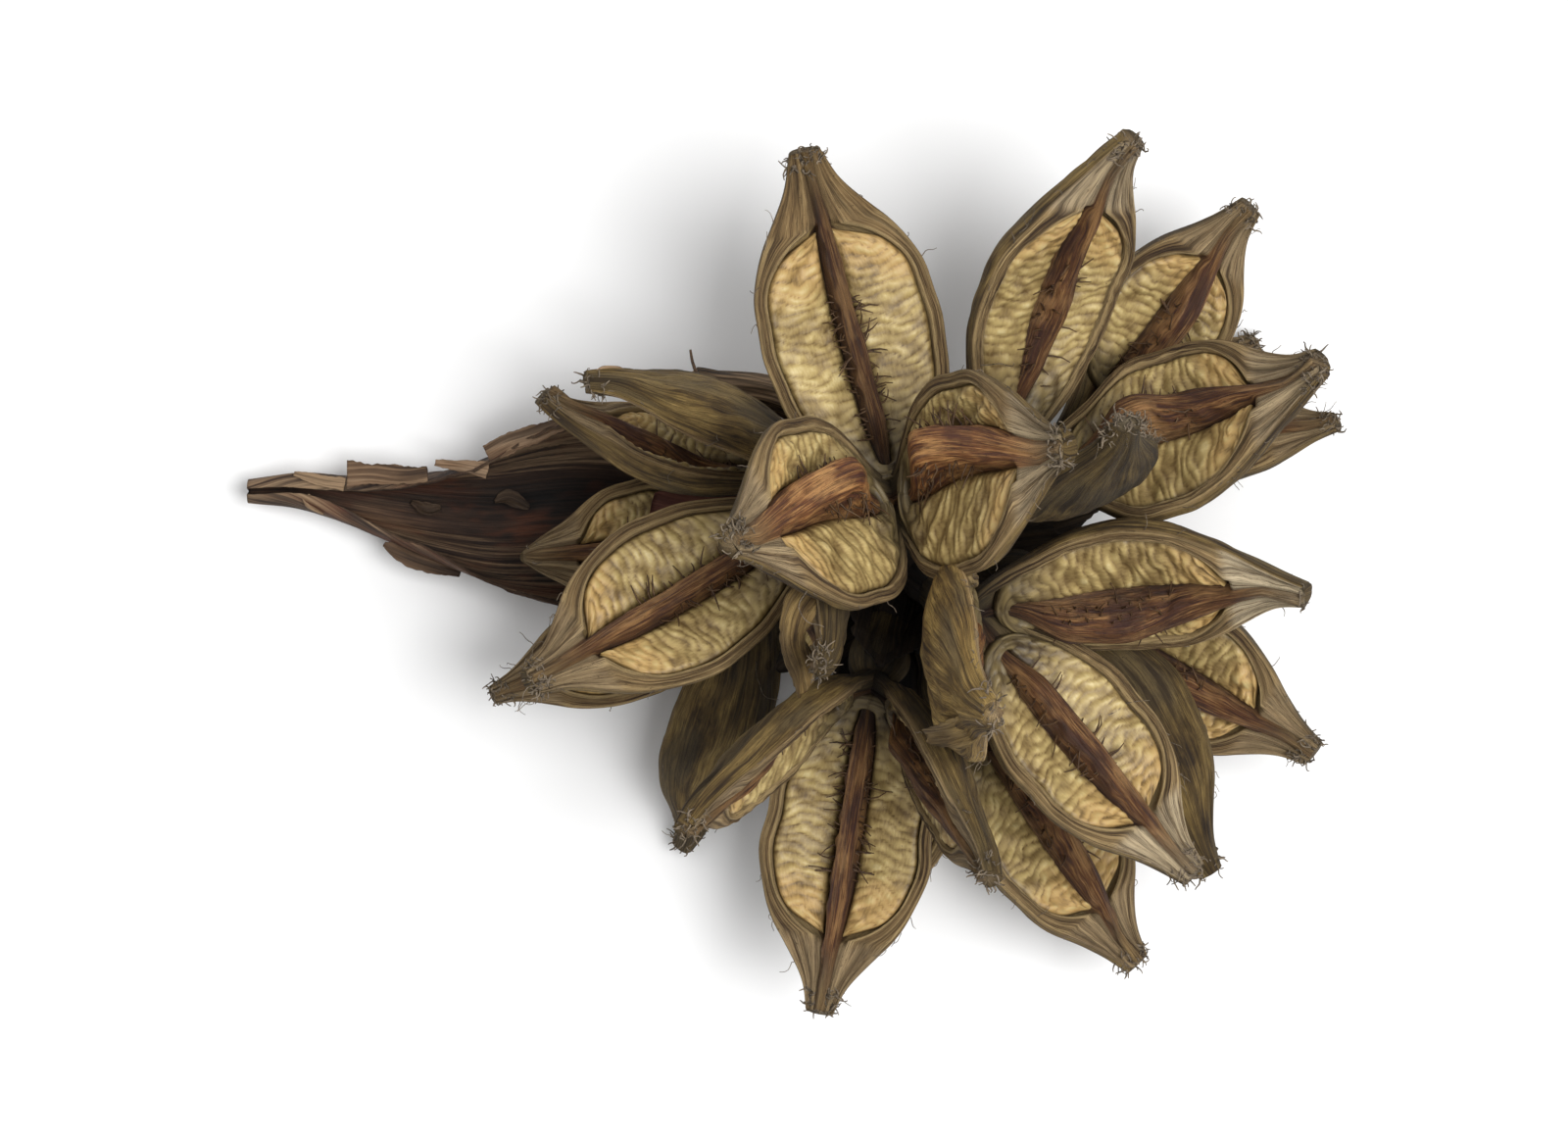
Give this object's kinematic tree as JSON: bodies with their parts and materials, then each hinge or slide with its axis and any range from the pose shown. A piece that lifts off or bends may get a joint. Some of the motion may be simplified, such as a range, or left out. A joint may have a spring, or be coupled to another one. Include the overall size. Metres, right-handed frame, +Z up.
{
  "type": "dried sororoca seed pod cluster",
  "caption": "Dried fruiting head of a giant tropical herb: a dark boat-shaped bract holding a crown of split woody capsules with pale ridged seed beds. Lies flat as decoration.",
  "frame": {"origin": "below the middle of the whole object, on the surface that it lies on", "axes": "+X from the bract's pointed end towards the capsules, along the longest extent; +Z up, square to the surface that it lies on"},
  "size_m": [0.3103, 0.2408, 0.1533],
  "materials": {
    "husk": "dry fibrous olive-brown husk, matt",
    "seed_bed": "straw-coloured ridged lining, slightly waxy",
    "bract": "dark brown fibrous sheath, matt",
    "stalk": "dark brown fibrous stalk, matt",
    "scale": "red-brown papery scale, matt"
  },
  "bodies": {
    "root": {"bract": "bract", "husk_bract_side": "husk", "husk_crown": "husk", "husk_far_right": "husk", "husk_front": "husk", "husk_left": "husk", "husk_low_front": "husk", "husk_low_left": "husk", "husk_lower_right": "husk", "husk_right": "husk", "husk_upper_left": "husk", "husk_upper_right": "husk", "scale": "scale", "seed_bed_bract_side_1": "seed_bed", "seed_bed_crown_1": "seed_bed", "seed_bed_crown_2": "seed_bed", "seed_bed_crown_3": "seed_bed", "seed_bed_far_right_1": "seed_bed", "seed_bed_far_right_2": "seed_bed", "seed_bed_far_right_3": "seed_bed", "seed_bed_front_1": "seed_bed", "seed_bed_front_2": "seed_bed", "seed_bed_front_3": "seed_bed", "seed_bed_left_1": "seed_bed", "seed_bed_left_2": "seed_bed", "seed_bed_low_front_1": "seed_bed", "seed_bed_low_front_2": "seed_bed", "seed_bed_low_left_1": "seed_bed", "seed_bed_low_left_2": "seed_bed", "seed_bed_lower_right_1": "seed_bed", "seed_bed_lower_right_2": "seed_bed", "seed_bed_lower_right_3": "seed_bed", "seed_bed_right_1": "seed_bed", "seed_bed_right_2": "seed_bed", "seed_bed_right_3": "seed_bed", "seed_bed_upper_left_1": "seed_bed", "seed_bed_upper_left_2": "seed_bed", "seed_bed_upper_right_1": "seed_bed", "seed_bed_upper_right_2": "seed_bed", "seed_bed_upper_right_3": "seed_bed", "stalk": "stalk"}
  },
  "joints": []
}
